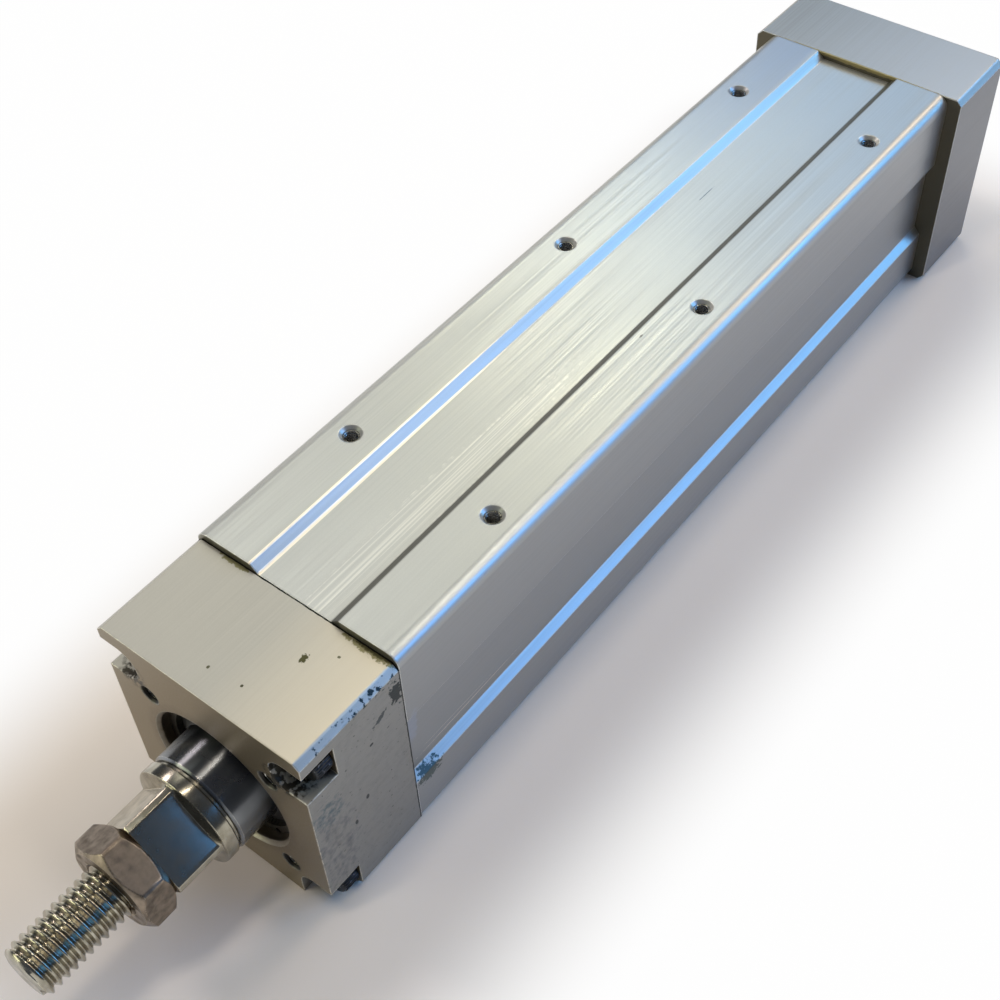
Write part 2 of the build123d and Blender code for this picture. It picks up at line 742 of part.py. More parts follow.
rotor_rear = motor_middle - rotor_length / 2
with BuildPart() as motor_rotor:
    disc(rotor_rear, rotor_rear + rotor_length, rotor_r - magnet_wall, shaft_r)
motor_rotor.part.label = "motor_rotor"
export_step(motor_rotor.part, "parts/motor_rotor.step")

with BuildPart() as rotor_magnets:
    disc(rotor_rear, rotor_rear + rotor_length, rotor_r, rotor_r - magnet_wall)
rotor_magnets.part.label = "rotor_magnets"
export_step(rotor_magnets.part, "parts/rotor_magnets.step")

# Encoder: a slotted disc on the motor's rear shaft, read by a board in the cover
with BuildPart() as encoder_disc:
    disc(disc_rear, disc_rear + disc_thickness, disc_r, shaft_r)
    disc(disc_rear, disc_rear + disc_hub_length, disc_hub_r, shaft_r)
    disc_hole_spots = circle_spots(disc_holes, disc_r - disc_hole_inset)
    rods_at(disc_rear, disc_rear + disc_thickness, disc_hole_r, disc_hole_spots, Mode.SUBTRACT)
encoder_disc.part.label = "encoder_disc"
export_step(encoder_disc.part, "parts/encoder_disc.step")

board_spots = circle_spots(2, board_screw_circle, 0)
with BuildPart() as encoder_board:
    disc(board_rear, board_front, board_r, board_hole_r)
    rods_at(board_rear, board_front, board_screw_r + thread_play, board_spots, Mode.SUBTRACT)
    disc(board_front, board_front + sensor_height, disc_r - sensor_inset, disc_hub_r + sensor_gap)
encoder_board.part.label = "encoder_board"
export_step(encoder_board.part, "parts/encoder_board.step")

with BuildPart() as encoder_board_screws:
    rods_at(board_front, board_front + board_head_height, board_head_r, board_spots)
    rods_at(board_rear - board_screw_depth + board_screw_gap, board_front, board_screw_r, board_spots)
encoder_board_screws.part.label = "encoder_board_screws"
export_step(encoder_board_screws.part, "parts/encoder_board_screws.step")

# Rear cover: wider than the body, hollow for the encoder, counterbored for four cap screws
with BuildPart() as rear_cover:
    with BuildSketch(across(cover_rear)):
        with Locations((0, body_middle)):
            Rectangle(cover_width, body_height)
        chamfer(vertices(), cover_chamfer)
    extrude(amount=cover_length)
    disc(body_rear, motor_rear, bore_r - spigot_play)
    disc(board_rear, motor_rear, board_r + seat_play, mode=Mode.SUBTRACT)
    disc(cavity_floor, board_rear, board_screw_circle - board_head_r, mode=Mode.SUBTRACT)
    disc(cover_rear, cavity_floor, inlet_hole_r + seat_play, mode=Mode.SUBTRACT)
    rods_at(board_rear - board_screw_depth, board_rear, board_screw_r + thread_play, board_spots,
            Mode.SUBTRACT)
    rods_at(cover_rear, body_rear, screw_r + screw_play, corner_spots, Mode.SUBTRACT)
    rods_at(cover_rear, cover_rear + head_height + head_sink, pocket_r, corner_spots, Mode.SUBTRACT)
    disc(body_rear + o_ring_section - seat_play, body_rear + 2 * o_ring_section, bore_r,
         bore_r - o_ring_section - seat_play, mode=Mode.SUBTRACT)
rear_cover.part.label = "rear_cover"
export_step(rear_cover.part, "parts/rear_cover.step")

with BuildPart() as rear_o_ring:
    disc(body_rear + o_ring_section, body_rear + 2 * o_ring_section - seat_play, bore_r - seat_play,
         bore_r - o_ring_section)
rear_o_ring.part.label = "rear_o_ring"
export_step(rear_o_ring.part, "parts/rear_o_ring.step")

with BuildPart() as rear_cover_screws:
    cap_screws(cover_rear + head_height + head_sink, -1, body_rear + screw_grip, corner_spots)
rear_cover_screws.part.label = "rear_cover_screws"
export_step(rear_cover_screws.part, "parts/rear_cover_screws.step")

# Inlet: a round panel connector for the motor and encoder cable, held by a nut inside the cover
inlet_mouth = cover_rear - inlet_reach
with BuildPart() as inlet_shell:
    disc(inlet_mouth, cavity_floor + inlet_nut_length, inlet_hole_r, inlet_bore_r)
    disc(cover_rear - inlet_flange, cover_rear, inlet_hole_r + inlet_rim, inlet_bore_r)
inlet_shell.part.label = "inlet_shell"
export_step(inlet_shell.part, "parts/inlet_shell.step")

with BuildPart() as inlet_nut:
    with BuildSketch(across(cavity_floor)):
        RegularPolygon(inlet_nut_r, 6)
        Circle(inlet_hole_r + thread_play, mode=Mode.SUBTRACT)
    extrude(amount=inlet_nut_length)
inlet_nut.part.label = "inlet_nut"
export_step(inlet_nut.part, "parts/inlet_nut.step")

pin_spots = circle_spots(pin_count, pin_circle, 90) + [(0, 0)]
with BuildPart() as inlet_insert:
    disc(cover_rear, cavity_floor + inlet_nut_length, inlet_bore_r - seat_play)
    rods_at(cover_rear, cavity_floor + inlet_nut_length, pin_r + seat_play, pin_spots, Mode.SUBTRACT)
inlet_insert.part.label = "inlet_insert"
export_step(inlet_insert.part, "parts/inlet_insert.step")

with BuildPart() as inlet_pins:
    rods_at(cover_rear - pin_reach, board_rear, pin_r, pin_spots[:-1])
    rods_at(cover_rear - pin_reach, cavity_floor + inlet_nut_length, pin_r, pin_spots[-1:])
inlet_pins.part.label = "inlet_pins"
export_step(inlet_pins.part, "parts/inlet_pins.step")

print("body length", round(body_length, 3), "from", body_front, "to", round(body_rear, 3))
print("whole length", round(stud_front - inlet_mouth, 3), "stud tip at", stud_front)
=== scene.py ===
import math

import bmesh
import bpy
from mathutils import Matrix, Vector


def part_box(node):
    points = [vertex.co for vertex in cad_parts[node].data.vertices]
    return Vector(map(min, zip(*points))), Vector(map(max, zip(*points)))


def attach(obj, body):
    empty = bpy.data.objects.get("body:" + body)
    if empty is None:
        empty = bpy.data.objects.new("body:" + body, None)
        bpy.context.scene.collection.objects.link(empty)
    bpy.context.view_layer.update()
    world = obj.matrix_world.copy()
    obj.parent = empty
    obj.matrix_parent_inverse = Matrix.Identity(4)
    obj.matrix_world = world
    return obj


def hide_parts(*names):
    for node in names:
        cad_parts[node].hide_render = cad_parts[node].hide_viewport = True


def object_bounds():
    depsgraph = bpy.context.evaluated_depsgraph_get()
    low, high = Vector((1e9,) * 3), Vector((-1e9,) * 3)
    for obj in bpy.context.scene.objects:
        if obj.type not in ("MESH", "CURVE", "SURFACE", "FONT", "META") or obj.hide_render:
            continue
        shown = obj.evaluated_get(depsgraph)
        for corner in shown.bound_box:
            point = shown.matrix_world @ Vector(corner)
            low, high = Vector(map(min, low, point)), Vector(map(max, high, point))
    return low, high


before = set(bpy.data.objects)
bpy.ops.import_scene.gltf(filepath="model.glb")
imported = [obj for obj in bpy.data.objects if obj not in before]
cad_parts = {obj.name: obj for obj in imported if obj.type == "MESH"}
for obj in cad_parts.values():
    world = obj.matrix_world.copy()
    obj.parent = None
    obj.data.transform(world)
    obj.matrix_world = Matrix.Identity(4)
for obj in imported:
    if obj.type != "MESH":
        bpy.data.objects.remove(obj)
cad_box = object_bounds()

# The body is a length of aluminium drawn through a die, sawn off, tapped on top and clear anodised. The die leaves
# fine lines along it, which spread a reflection across its width. The acid bath before anodising leaves a dull,
# even grain, and handling brightens the corners and leaves scratches and an oily patch near the front block.
MM = 0.001
DRAWN_OUT = 0.006


def tone(code):
    """An sRGB hex colour as linear light"""
    steps = [int(code[i:i + 2], 16) / 255 for i in (1, 3, 5)]
    return (*[c / 12.92 if c <= 0.04045 else ((c + 0.055) / 1.055) ** 2.4 for c in steps], 1.0)


def add(tree, kind, links=None, **settings):
    """A node with its settings. links gives an input's name or number a value, or the output that feeds it"""
    node = tree.nodes.new(kind)
    for name, value in settings.items():
        setattr(node, name, value)
    for socket, value in (links or {}).items():
        if isinstance(value, bpy.types.NodeSocket):
            tree.links.new(value, node.inputs[socket])
        else:
            node.inputs[socket].default_value = value
    return node


def start_finish(name, metallic, roughness, **sockets):
    """A material with its Principled shader set. Gives the material, its tree and the shader"""
    made = bpy.data.materials.new(name)
    made.use_nodes = True
    shader = made.node_tree.nodes["Principled BSDF"]
    shader.inputs["Metallic"].default_value = metallic
    shader.inputs["Roughness"].default_value = roughness
    for socket, value in sockets.items():
        shader.inputs[socket.replace("_", " ")].default_value = value
    return made, made.node_tree, shader


def object_mm(tree, stretch=(1, 1, 1)):
    """The place on the piece in millimetres, shortened along an axis where stretch is below 1"""
    place = add(tree, "ShaderNodeTexCoord").outputs["Object"]
    scale = [1000 * share for share in stretch]
    return add(tree, "ShaderNodeMapping", {"Vector": place, "Scale": scale}).outputs["Vector"]


def spots(tree, size, low, high, detail=3.0, stretch=(1, 1, 1)):
    """Cloudy spots of about size millimetres: 0 where the noise is under low, 1 where it is over high"""
    noise = add(tree, "ShaderNodeTexNoise",
                {"Vector": object_mm(tree, stretch), "Scale": 1 / size, "Detail": detail})
    return add(tree, "ShaderNodeMapRange", {"Value": noise.outputs[0], 1: low, 2: high}).outputs[0]


def patch(tree, middle, reach, turn=0.0, rag=0.6, rag_size=1.0):
    """A ragged mark about a place in millimetres, turned about Y by turn: 1 inside and 0 outside"""
    place = add(tree, "ShaderNodeTexCoord").outputs["Object"]
    at = [m * MM for m in middle]
    size = [r * MM for r in reach]
    local = add(tree, "ShaderNodeMapping",
                {"Vector": place, "Location": at, "Rotation": (0, turn, 0), "Scale": size}, vector_type="TEXTURE")
    far = add(tree, "ShaderNodeVectorMath", {0: local.outputs[0]}, operation="LENGTH")
    noise = add(tree, "ShaderNodeTexNoise", {"Vector": object_mm(tree), "Scale": 1 / rag_size, "Detail": 4.0})
    ragged = add(tree, "ShaderNodeMath", {0: noise.outputs[0], 1: 2 * rag, 2: far.outputs["Value"]},
                 operation="MULTIPLY_ADD")
    return add(tree, "ShaderNodeMapRange", {"Value": ragged.outputs[0], 1: 1.12 + rag, 2: 0.88 + rag}).outputs[0]


def layered(tree, ground, *layers):
    """Lays colours over a ground, each where its mask is 1. A mask may be a pair that must both be 1"""
    for mask, colour in layers:
        if isinstance(mask, tuple):
            mask = add(tree, "ShaderNodeMath", {0: mask[0], 1: mask[1]}, operation="MULTIPLY").outputs[0]
        ends = [tone(c) if isinstance(c, str) else c for c in (ground, colour)]
        mix = add(tree, "ShaderNodeMix", {"Factor": mask, 6: ends[0], 7: ends[1]}, data_type="RGBA")
        ground = mix.outputs[2]
    return ground


def worn_edge(tree, radius):
    """How much an edge nearby turns the surface: 0 on a flat, rising on an edge. Also the softened normal"""
    soft = add(tree, "ShaderNodeBevel", {"Radius": radius}, samples=6).outputs["Normal"]
    flat = add(tree, "ShaderNodeNewGeometry").outputs["Normal"]
    same = add(tree, "ShaderNodeVectorMath", {0: soft, 1: flat}, operation="DOT_PRODUCT").outputs["Value"]
    return add(tree, "ShaderNodeMapRange", {"Value": same, 1: 0.995, 2: 0.85}).outputs["Result"], soft


def fade(tree, axis, start, end):
    """0 at one place along an axis, in millimetres, rising to 1 at the other"""
    along = add(tree, "ShaderNodeSeparateXYZ", {0: object_mm(tree)}).outputs[axis]
    return add(tree, "ShaderNodeMapRange", {"Value": along, 1: start, 2: end}).outputs[0]


def anodised(name, colour, shade, edge, cut, side_shade, roughness, line_share):
    """Clear anodised aluminium. colour and shade are its two greys and edge the worn edges. cut and the colour
    after it
    are painted shade: cut on the faces that look forward along X, the next on the sides that face along Y.
    line_share is how far the drawn lines vary the roughness"""
    made, tree, shader = start_finish(name, 0.66, roughness, Anisotropic=0.35)
    lines = add(tree, "ShaderNodeTexNoise",
                {"Vector": object_mm(tree, (DRAWN_OUT, 1, 1)), "Scale": 3.5, "Detail": 5.0})
    grain = add(tree, "ShaderNodeTexNoise", {"Vector": object_mm(tree), "Scale": 6.0, "Detail": 3.0})
    streaks = add(tree, "ShaderNodeMapRange", {"Value": lines.outputs[0], 1: 0.35, 2: 0.65}).outputs[0]
    clouds = spots(tree, 30.0, 0.3, 0.75)
    salt = add(tree, "ShaderNodeMapRange", {"Value": grain.outputs[0], 1: 0.3, 2: 0.7, 4: 0.35}).outputs[0]
    wear, soft = worn_edge(tree, 0.28 * MM)
    dull = add(tree, "ShaderNodeMapRange", {"Value": lines.outputs[0], 1: 0.35, 2: 0.65,
                                            3: roughness - line_share, 4: roughness + line_share})
    tree.links.new(dull.outputs[0], shader.inputs["Roughness"])
    drawn = add(tree, "ShaderNodeBump", {"Height": lines.outputs[0], "Strength": 0.3, "Distance": 0.02 * MM,
                                         "Normal": soft})
    etched = add(tree, "ShaderNodeBump", {"Height": grain.outputs[0], "Strength": 0.5, "Distance": 0.012 * MM,
                                          "Normal": drawn.outputs[0]})
    tree.links.new(etched.outputs[0], shader.inputs["Normal"])
    facing = add(tree, "ShaderNodeNewGeometry").outputs["Normal"]
    over = add(tree, "ShaderNodeVectorMath", {0: facing, 1: (1, 0.01, 0.02)}, operation="CROSS_PRODUCT")
    tree.links.new(over.outputs[0], shader.inputs["Tangent"])
    # Painted shade: faces that look forward along X take the cut colour, and sides that face along Y the colour
    # after it.
    ahead = add(tree, "ShaderNodeVectorMath", {0: facing, 1: (1, 0, 0)}, operation="DOT_PRODUCT")
    painted_front_shade = add(tree, "ShaderNodeMapRange", {"Value": ahead.outputs["Value"], 1: 0.85, 2: 0.97}).outputs[0]
    level = add(tree, "ShaderNodeSeparateXYZ", {0: facing}).outputs["Y"]
    level = add(tree, "ShaderNodeMath", {0: level}, operation="ABSOLUTE").outputs[0]
    painted_side_shade = add(tree, "ShaderNodeMapRange", {"Value": level, 1: 0.75, 2: 0.99}).outputs[0]
    base = layered(tree, colour, ((streaks, clouds), shade), (salt, shade), (painted_side_shade, side_shade), (painted_front_shade, cut),
                   (wear, edge))
    tree.links.new(base, shader.inputs["Base Color"])
    return made, tree, shader, base


def give(finish, *nodes):
    """Puts a finish on CAD nodes that stay as they are"""
    for node in nodes:
        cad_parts[node].data.materials.clear()
        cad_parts[node].data.materials.append(finish)


body_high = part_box("body_extrusion")[1]
# The fifth and sixth colours are painted shade on the forward-facing faces and on the sides.
body_finish, tree, shader, base = anodised("clear_anodised_drawn_aluminium", "#C3C4BD", "#B4B6B0", "#F2F3EE",
                                           "#8B8778", "#A09F9C", 0.35, 0.05)
joint = body_high.x / MM
right = body_high.y / MM
top_z = body_high.z / MM
BAND_DEPTH = 1.2
ALL_ALONG = 900
band_z = top_z - BAND_DEPTH
marks = layered(
    tree, base,
    # Painted shade: the right wall of the top band is darker all along.
    (patch(tree, (-90, 7.05, top_z - BAND_DEPTH / 2), (ALL_ALONG, 0.95, 0.95), rag=0.02), "#64655E"),
    (patch(tree, (joint - 2.8, right - 1.0, -8.2), (2.6, 2, 1.5), rag=1.1, rag_size=0.5), "#4F5C59"),
    (patch(tree, (joint - 1.6, right - 1.0, 4.5), (1.3, 2, 4.0), rag=0.5), "#A3A6AC"),
    (patch(tree, (joint - 13, right - 1, -4.6), (10.5, 3, 0.07), turn=0.012, rag=0.5, rag_size=0.4), "#E8D9C4"),
    (patch(tree, (joint - 11, right - 1, -3.7), (7.5, 3, 0.05), turn=-0.02, rag=0.6, rag_size=0.4), "#D9CDBB"),
    (patch(tree, (joint - 13.5, right - 1, 6.0), (9.5, 3, 0.06), turn=0.06, rag=0.4, rag_size=0.5), "#4B4C52"),
    (patch(tree, (-117.2, -2.4, band_z), (2.2, 0.09, 1), rag=0.4, rag_size=0.5), "#7F8489"),
    (patch(tree, (-82.6, 8.8, top_z), (0.4, 0.15, 0.4), rag=0.5, rag_size=0.3), "#7B7A75"),
    # Painted highlights: two pale lines along the left slope of the top band, near the front.
    (patch(tree, (joint - 6, -7.75, top_z), (45, 0.22, 0.22), rag=0.02), "#FFF3DC"),
    (patch(tree, (joint - 6, -6.3, band_z), (45, 0.3, 0.22), rag=0.02), "#FFF3DC"),
    # Painted reflection: pale streaks on the top band behind the front block.
    ((patch(tree, (joint - 20, 3.6, band_z), (34, 2.6, 0.6), rag=0.4),
      spots(tree, 0.35, 0.45, 0.68, 4.0, (DRAWN_OUT, 1, 1))), "#DCDBD1"),
    # Painted shade: the rear of the left top strip darkens towards the back.
    ((patch(tree, (-142, -12.5, top_z), (42, 4.6, 0.8), rag=0.02), fade(tree, "X", -112, -160)), "#ABADAE"))
tree.links.new(marks, shader.inputs["Base Color"])
give(body_finish, "body_extrusion")


# Six M3 threads are tapped into the top of the body and four into the front block. Each is a lining of
# 60 degree ridges in its drilled hole, bright where the tap cut through the anodising.
def close_mesh(name, shell, sharp=32):
    """Merges doubles, points the faces outwards and makes a smooth-shaded mesh with its sharp edges kept"""
    bmesh.ops.remove_doubles(shell, verts=shell.verts, dist=1e-7)
    bmesh.ops.dissolve_degenerate(shell, edges=shell.edges, dist=1e-7)
    bmesh.ops.recalc_face_normals(shell, faces=shell.faces)
    made = bpy.data.meshes.new(name)
    shell.to_mesh(made)
    shell.free()
    made.shade_smooth()
    made.set_sharp_from_angle(angle=math.radians(sharp))
    return made


def skin(name, rings, around, loop=False):
    """A closed mesh about the X axis. A ring is (station, radius). The radius may be a function of the angle"""
    shell = bmesh.new()
    angles = [math.tau * k / around for k in range(around)]
    rows = []
    for station, radius in rings:
        sizes = [radius(a) if callable(radius) else radius for a in angles]
        rows.append([shell.verts.new((station * MM, s * MM * math.cos(a), s * MM * math.sin(a)))
                     for s, a in zip(sizes, angles)])
    for lower, upper in list(zip(rows, rows[1:])) + ([(rows[-1], rows[0])] if loop else []):
        for k in range(around):
            after = (k + 1) % around
            shell.faces.new((lower[k], lower[after], upper[after], upper[k]))
    if not loop:
        for row, station in ((rows[0], rings[0][0]), (rows[-1], rings[-1][0])):
            cap(shell, station, row + row[:1])
    return close_mesh(name, shell)


def thread_rows(shell, start, end, pitch, crest_r, root_r, limit, around):
    """The skin of a 60 degree screw thread between two stations, added row by row along the helix"""
    depth = crest_r - root_r
    shape = [(phase, root_r + depth * height) for phase, height in (
        (0.0, 0.0), (0.1, 0.0), (0.37, 0.72), (0.43, 0.9), (0.49, 0.98), (0.55, 1.0), (0.61, 0.98), (0.67, 0.9),
        (0.73, 0.72))]
    rows = []
    for turn in range(-1, int((end - start) / pitch) + 2):
        for phase, radius in shape:
            row = []
            for k in range(around + 1):
                station = min(max(start + pitch * (turn + phase + k / around), start), end)
                size = limit(station, radius)
                angle = math.tau * k / around
                at = (station * MM, size * MM * math.cos(angle), size * MM * math.sin(angle))
                row.append(shell.verts.new(at))
            rows.append(row)
    for lower, upper in zip(rows, rows[1:]):
        for k in range(around):
            shell.faces.new((lower[k], lower[k + 1], upper[k + 1], upper[k]))
    return rows


def cap(shell, station, row):
    """Closes an end with a flat disc at its last row"""
    centre = shell.verts.new((station * MM, 0, 0))
    for k in range(len(row) - 1):
        shell.faces.new((row[k], row[k + 1], centre))


def lined(shell, rows, stations, radius, around):
    """Gives a thread its plain other wall at a radius, so that it is a tube"""
    walls = [[shell.verts.new((station * MM, radius * MM * math.cos(math.tau * k / around),
                               radius * MM * math.sin(math.tau * k / around))) for k in range(around + 1)]
             for station in stations]
    for one, other in ((walls[0], walls[1]), (rows[0], walls[0]), (rows[-1], walls[1])):
        for k in range(around):
            shell.faces.new((one[k], one[k + 1], other[k + 1], other[k]))


# One tree sets a copy of a small part at each marked place, turned the way it is fitted.
placer = bpy.data.node_groups.new("set_at_each_place", "GeometryNodeTree")
placer.interface.new_socket("Places", in_out="INPUT", socket_type="NodeSocketGeometry")
placer.interface.new_socket("Part", in_out="INPUT", socket_type="NodeSocketObject")
placer.interface.new_socket("Turn", in_out="INPUT", socket_type="NodeSocketVector")
placer.interface.new_socket("Finish", in_out="INPUT", socket_type="NodeSocketMaterial")
placer.interface.new_socket("Set parts", in_out="OUTPUT", socket_type="NodeSocketGeometry")
given = add(placer, "NodeGroupInput")
part = add(placer, "GeometryNodeObjectInfo", {"Object": given.outputs["Part"]})
copies = add(placer, "GeometryNodeInstanceOnPoints", {"Points": given.outputs["Places"],
                                                      "Instance": part.outputs["Geometry"],
                                                      "Rotation": given.outputs["Turn"]})
real = add(placer, "GeometryNodeRealizeInstances", {0: copies.outputs[0]})
coated = add(placer, "GeometryNodeSetMaterial", {"Geometry": real.outputs[0], "Material": given.outputs["Finish"]})
add(placer, "NodeGroupOutput", {0: coated.outputs[0]})
placer_inputs = {item.name: item.identifier for item in placer.interface.items_tree if item.in_out == "INPUT"}


def set_at_places(name, part_mesh, places, turn, finish):
    """One plain mesh with a copy of part_mesh at each place, in millimetres"""
    points = bpy.data.meshes.new(name)
    points.from_pydata([Vector(p) * MM for p in places], [], [])
    made = bpy.data.objects.new(name, points)
    sample = bpy.data.objects.new(name + "_sample", part_mesh)
    bpy.context.scene.collection.objects.link(made)
    bpy.context.scene.collection.objects.link(sample)
    work = made.modifiers.new("places", "NODES")
    work.node_group = placer
    work[placer_inputs["Part"]] = sample
    work[placer_inputs["Turn"]] = turn
    work[placer_inputs["Finish"]] = finish
    bpy.context.view_layer.update()
    whole = bpy.data.meshes.new_from_object(made.evaluated_get(bpy.context.evaluated_depsgraph_get()))
    made.modifiers.remove(work)
    made.data = whole
    bpy.data.objects.remove(sample)
    return made


def show(name, mesh, finish):
    """A piece made of a finished mesh"""
    mesh.materials.clear()
    mesh.materials.append(finish)
    made = bpy.data.objects.new(name, mesh)
    bpy.context.scene.collection.objects.link(made)
    return made


TAP_PITCH = 0.5
TAP_R = 1.248
TAP_CREST = 1.08
TAP_AROUND = 36
TOP_COUNTERSINK = 0.55
TOP_DEPTH = 5.3
FRONT_COUNTERSINK = 0.45
FRONT_DEPTH = 6.3
FRONT_GRID = 10.5
tapped_finish, tree, shader = start_finish("freshly_tapped_aluminium", 1.0, 0.25)
tree.links.new(layered(tree, "#6E6C66", (spots(tree, 0.2, 0.4, 0.6), "#C9C6BC")), shader.inputs["Base Color"])


def tapped_lining(name, depth):
    """The ridges of a tapped hole, from its mouth at 0 back to its depth, about the X axis"""
    shell = bmesh.new()
    rows = thread_rows(shell, -depth, 0.0, TAP_PITCH, TAP_CREST, TAP_R - 0.01, lambda station, size: size,
                       TAP_AROUND)
    lined(shell, rows, (-depth, 0.0), TAP_R, TAP_AROUND)
    return close_mesh(name, shell)


top_holes = [(x, y, top_z - TOP_COUNTERSINK) for x in (-43, -93, -143) for y in (-12.5, 12.5)]
front_grid = [(y, z) for y in (-FRONT_GRID, FRONT_GRID) for z in (-FRONT_GRID, FRONT_GRID)]
front_holes = [(-FRONT_COUNTERSINK, y, z) for y, z in front_grid]
stand_up = (0, -math.pi / 2, 0)
top_threads = set_at_places("top_hole_threads", tapped_lining("top_thread", TOP_DEPTH), top_holes, stand_up,
                            tapped_finish)
front_threads = set_at_places("front_hole_threads", tapped_lining("front_thread", FRONT_DEPTH), front_holes,
                              (0, 0, 0), tapped_finish)
for piece, slot in ((top_threads, "anodised_body"), (front_threads, "anodised_block")):
    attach(piece, "housing")


# The front block is sawn from bar, milled and anodised in another bath, so it is warmer and greyer than the body.
# Salt has pitted its side and the chamfer above it, and dirt lies along the joint. Painted shade darkens and
# browns its front face and bore and blackens the insides of its tapped holes, the upper pockets are darker in
# patches, and a painted highlight warms and lightens its top towards +Y.
block_low, block_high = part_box("front_housing")
side_y = block_high.y / MM
lid_z = block_high.z / MM
block_finish, tree, shader, base = anodised("milled_anodised_block", "#BAB7AB", "#B0ADA1", "#F0EDE0", "#8F826C",
                                            "#94918A", 0.4, 0.03)
pits = spots(tree, 0.5, 0.64, 0.70, detail=5.0, stretch=(0.7, 1, 1))
on_side = patch(tree, (-9, side_y, 2), (12, 0.3, 19), rag=0.3)
mottle = spots(tree, 1.2, 0.45, 0.75, detail=4.0)
painted_glow_on_lid = patch(tree, (-9, 9, lid_z), (12, 14, 0.3), rag=0.05)
colour = layered(
    tree, base,
    # Painted highlight: a warm glow lightens the top towards +Y.
    ((painted_glow_on_lid, fade(tree, "Y", 1, 17)), "#D9CFB8"),
    ((on_side, mottle), "#8B8982"),
    ((on_side, pits), "#5C5A57"),
    ((patch(tree, (-3.0, side_y, 6.0), (2.6, 0.5, 3.0), rag=1.0), spots(tree, 0.8, 0.40, 0.66, 3.0)), "#5C6A6E"),
    ((patch(tree, (-3.0, side_y, -4), (3.6, 0.5, 9.0), rag=1.0), spots(tree, 1.1, 0.42, 0.76, 3.0)), "#6A6B6D"),
    (patch(tree, (-16.8, side_y, 15.8), (1.0, 0.6, 2.2), rag=1.4, rag_size=0.6), "#262D2D"),
    (patch(tree, (-13.6, side_y, 14.0), (1.3, 0.5, 0.4), turn=0.5, rag=1.2, rag_size=0.4), "#484B4B"),
    (patch(tree, (-11.5, side_y, 10.7), (0.35, 0.5, 0.25), rag=0.4), "#2B2C2D"),
    (patch(tree, (-9.3, side_y, 1.1), (0.3, 0.5, 0.5), rag=0.4), "#3A3B3C"),
    (patch(tree, (-6.7, side_y, -1.8), (0.25, 0.5, 0.45), rag=0.4), "#3A3B3C"),
    ((patch(tree, (-13.5, side_y - 0.3, lid_z - 0.8), (5.2, 0.8, 0.8), rag=0.5, rag_size=0.7),
      spots(tree, 0.8, 0.54, 0.60, 4.0)), "#26302F"),
    ((patch(tree, (-6.0, side_y - 0.3, lid_z - 0.8), (5.0, 0.8, 0.8), rag=0.3),
      spots(tree, 0.7, 0.62, 0.68, 4.0)), "#3A4446"),
    (patch(tree, (-11.9, 7.4, lid_z), (0.75, 0.5, 0.5), rag=1.2, rag_size=0.45), "#4C4A2B"),
    (patch(tree, (-3.9, -1.2, lid_z), (0.25, 0.2, 0.3), rag=0.5, rag_size=0.3), "#5A5842"),
    (patch(tree, (-4.4, 4.1, lid_z), (0.2, 0.2, 0.3), rag=0.5, rag_size=0.3), "#4A4835"),
    (patch(tree, (-14.6, 10.8, lid_z), (0.2, 0.25, 0.3), rag=0.5, rag_size=0.3), "#6A6850"),
    (patch(tree, (-17.7, 13.2, lid_z), (0.75, 4.4, 0.8), rag=0.9, rag_size=0.5), "#8A8460"),
    (patch(tree, (-17.9, 14.0, lid_z), (0.5, 3.4, 0.8), rag=0.9, rag_size=0.4), "#5E5A3A"),
    (patch(tree, (-17.8, -10.2, lid_z), (0.6, 2.6, 0.8), rag=0.9, rag_size=0.5), "#7F7B58"),
    # Painted shade: the front face around the bore, and the bore, are darker and browner.
    (patch(tree, (-3, 0, 0), (4.2, 16, 16), rag=0.05), "#5A4E40"),
    # Painted shade: the insides of the four front tapped holes are near black.
    *[(patch(tree, (-0.5, y, z), (1.6, 1.75, 1.75), rag=0.05), "#1D1B18") for y, z in front_grid],
    *[((patch(tree, (-3, y, 13.6), (5.5, 3.4, 3.4), rag=0.3), spots(tree, 0.9, 0.42, 0.52, 4.0)), "#3C382E")
      for y in (-13.6, 13.6)],
    (patch(tree, (block_low.x / MM + 3.0, 0, 0), (0.22, ALL_ALONG, ALL_ALONG), rag=0.5), "#15140F"))
tree.links.new(colour, shader.inputs["Base Color"])
give(block_finish, "front_housing")

# Four M3 socket cap screws hold the block and four more the rear cover: black oxide steel, oily and dusty, with
# a straight-knurled head and a hexagon socket.
HEAD_R = 2.75
HEAD = 3.0
SHANK_R = 1.45
KEY = 2.5
KNURLS = 36
KNURL_DEPTH = 0.11
FRONT_GRIP = 20.5
REAR_GRIP = 20.2


def knurled(radius):
    """A round head cut with straight V grooves"""
    return lambda angle: radius - KNURL_DEPTH * abs(math.sin(angle * KNURLS / 2)) ** 0.6


def hexagon(across, corner=1e9):
    """The radius of a hexagon at an angle, no further out than its rounded corners"""
    def radius(angle):
        off = (angle + math.pi / 6) % (math.pi / 3) - math.pi / 6
        return min(across / 2 / math.cos(off), corner)
    return radius


oxide_finish, tree, shader = start_finish("black_oxide_steel", 0.75, 0.38)
dusty = layered(tree, "#121417", (spots(tree, 0.8, 0.35, 0.7, 5.0), "#34373A"),
                (spots(tree, 0.5, 0.62, 0.7), "#77777A"))
tree.links.new(dusty, shader.inputs["Base Color"])


